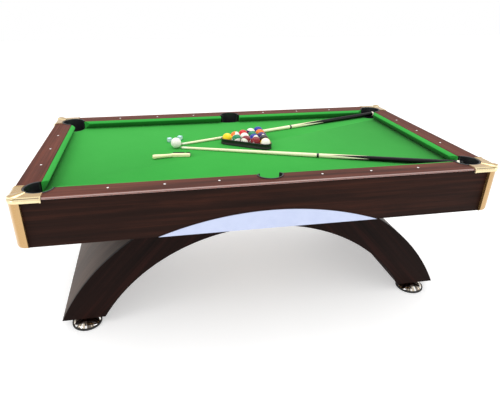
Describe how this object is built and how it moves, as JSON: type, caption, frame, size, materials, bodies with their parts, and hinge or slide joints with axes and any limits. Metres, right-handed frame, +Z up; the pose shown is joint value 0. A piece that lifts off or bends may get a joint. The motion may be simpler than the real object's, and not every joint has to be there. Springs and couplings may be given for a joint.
{
  "type": "pool table",
  "caption": "Arch-legged pool table with cloth bed, cushioned rails, net pockets, gold corner fittings, levelling feet, and its balls, rack, cues, chalk and brush.",
  "frame": {"origin": "on the floor, under the middle of the table", "axes": "+X along the length, to the right as seen from the front long side; +Y across the width, towards the back long side; +Z up"},
  "size_m": [2.1984, 1.2584, 0.8335],
  "materials": {
    "raw_board": "plain chipboard, unlacquered",
    "bed_cloth": "woven playing cloth, matt",
    "cushion_cloth": "playing cloth drawn over rubber, matt",
    "rail_laminate": "mahogany laminate, satin",
    "apron_laminate": "dark mahogany laminate, satin",
    "leg_laminate": "dark mahogany laminate, satin",
    "shell_laminate": "mahogany laminate, satin",
    "gold_metal": "satin gold",
    "silver_plate": "brushed and lacquered",
    "pearl": "pearl, polished",
    "pocket_rubber": "moulded, satin",
    "net_cord": "knotted cord",
    "steel": "zinc plated",
    "foot_chrome": "polished",
    "foot_rubber": "moulded, matt",
    "cue_ball_resin": "polished resin",
    "ball_resin": "polished resin, solid and striped",
    "rack_plastic": "moulded, satin",
    "cue_wood": "lacquered maple with dark butt",
    "chalk_cube": "pressed chalk, matt",
    "brush_wood": "lacquered beech",
    "bristle": "fine bristle"
  },
  "bodies": {
    "table": {"bed_slab": "raw_board", "bed_frame": "raw_board", "leg_mount_frame": "raw_board", "leg_base_left": "raw_board", "leg_base_right": "raw_board", "bed_cloth": "bed_cloth", "cushion_front_left": "cushion_cloth", "cushion_front_right": "cushion_cloth", "cushion_back_left": "cushion_cloth", "cushion_back_right": "cushion_cloth", "cushion_end_left": "cushion_cloth", "cushion_end_right": "cushion_cloth", "rail_front": "rail_laminate", "rail_back": "rail_laminate", "rail_left": "rail_laminate", "rail_right": "rail_laminate", "apron_front": "apron_laminate", "apron_back": "apron_laminate", "apron_left": "apron_laminate", "apron_right": "apron_laminate", "arch_panel_front": "leg_laminate", "arch_panel_back": "leg_laminate", "leg_shell_left": "shell_laminate", "leg_shell_right": "shell_laminate", "corner_cap_front_left": "gold_metal", "corner_cap_front_right": "gold_metal", "corner_cap_back_left": "gold_metal", "corner_cap_back_right": "gold_metal", "corner_post_front_left": "gold_metal", "corner_post_front_right": "gold_metal", "corner_post_back_left": "gold_metal", "corner_post_back_right": "gold_metal", "crescent_front": "silver_plate", "crescent_back": "silver_plate", "rail_sights": "pearl", "pocket_liner_front_left": "pocket_rubber", "pocket_liner_front_right": "pocket_rubber", "pocket_liner_back_left": "pocket_rubber", "pocket_liner_back_right": "pocket_rubber", "pocket_liner_side_front": "pocket_rubber", "pocket_liner_side_back": "pocket_rubber", "pocket_nets": "net_cord", "rail_bolts": "steel", "threaded_inserts": "steel"},
    "pad_front_left": {"foot_pad_front_left": "foot_rubber"},
    "foot_front_left": {"leveller_foot_front_left": "foot_chrome"},
    "pad_front_right": {"foot_pad_front_right": "foot_rubber"},
    "foot_front_right": {"leveller_foot_front_right": "foot_chrome"},
    "pad_back_left": {"foot_pad_back_left": "foot_rubber"},
    "foot_back_left": {"leveller_foot_back_left": "foot_chrome"},
    "pad_back_right": {"foot_pad_back_right": "foot_rubber"},
    "foot_back_right": {"leveller_foot_back_right": "foot_chrome"},
    "cue_ball": {"cue_ball": "cue_ball_resin"},
    "object_balls": {"object_balls": "ball_resin"},
    "rack": {"rack": "rack_plastic"},
    "cue_back": {"cue_back": "cue_wood"},
    "cue_front": {"cue_front": "cue_wood"},
    "chalk": {"chalk": "chalk_cube"},
    "brush": {"brush_handle": "brush_wood", "brush_bristles": "bristle"}
  },
  "joints": [
    {"name": "front_left_height", "type": "slide", "parent": "table", "child": "pad_front_left", "axis": [0, 0, -1], "range_m": [0, 0.0141]},
    {"name": "front_left_turn", "type": "hinge", "parent": "pad_front_left", "child": "foot_front_left", "pos_m": [-0.913, -0.396, 0.04], "axis": [0, 0, 1], "range_deg": [0, 2880]},
    {"name": "front_right_height", "type": "slide", "parent": "table", "child": "pad_front_right", "axis": [0, 0, -1], "range_m": [0, 0.0141]},
    {"name": "front_right_turn", "type": "hinge", "parent": "pad_front_right", "child": "foot_front_right", "pos_m": [0.913, -0.396, 0.04], "axis": [0, 0, 1], "range_deg": [0, 2880]},
    {"name": "back_left_height", "type": "slide", "parent": "table", "child": "pad_back_left", "axis": [0, 0, -1], "range_m": [0, 0.0141]},
    {"name": "back_left_turn", "type": "hinge", "parent": "pad_back_left", "child": "foot_back_left", "pos_m": [-0.913, 0.396, 0.04], "axis": [0, 0, 1], "range_deg": [0, 2880]},
    {"name": "back_right_height", "type": "slide", "parent": "table", "child": "pad_back_right", "axis": [0, 0, -1], "range_m": [0, 0.0141]},
    {"name": "back_right_turn", "type": "hinge", "parent": "pad_back_right", "child": "foot_back_right", "pos_m": [0.913, 0.396, 0.04], "axis": [0, 0, 1], "range_deg": [0, 2880]},
    {"name": "cue_ball_lift", "type": "slide", "parent": "table", "child": "cue_ball", "axis": [0, 0, 1], "range_m": [0, 0.3]},
    {"name": "object_balls_lift", "type": "slide", "parent": "table", "child": "object_balls", "axis": [0, 0, 1], "range_m": [0, 0.3]},
    {"name": "rack_lift", "type": "slide", "parent": "table", "child": "rack", "axis": [0, 0, 1], "range_m": [0, 0.3]},
    {"name": "cue_back_lift", "type": "slide", "parent": "table", "child": "cue_back", "axis": [0, 0, 1], "range_m": [0, 0.3]},
    {"name": "cue_front_lift", "type": "slide", "parent": "table", "child": "cue_front", "axis": [0, 0, 1], "range_m": [0, 0.3]},
    {"name": "chalk_lift", "type": "slide", "parent": "table", "child": "chalk", "axis": [0, 0, 1], "range_m": [0, 0.3]},
    {"name": "brush_lift", "type": "slide", "parent": "table", "child": "brush", "axis": [0, 0, 1], "range_m": [0, 0.3]}
  ],
  "couplings": [
    {"joint": "front_left_height", "follows": "front_left_turn", "m_per_rad": 0.00027852},
    {"joint": "front_right_height", "follows": "front_right_turn", "m_per_rad": 0.00027852},
    {"joint": "back_left_height", "follows": "back_left_turn", "m_per_rad": 0.00027852},
    {"joint": "back_right_height", "follows": "back_right_turn", "m_per_rad": 0.00027852}
  ]
}
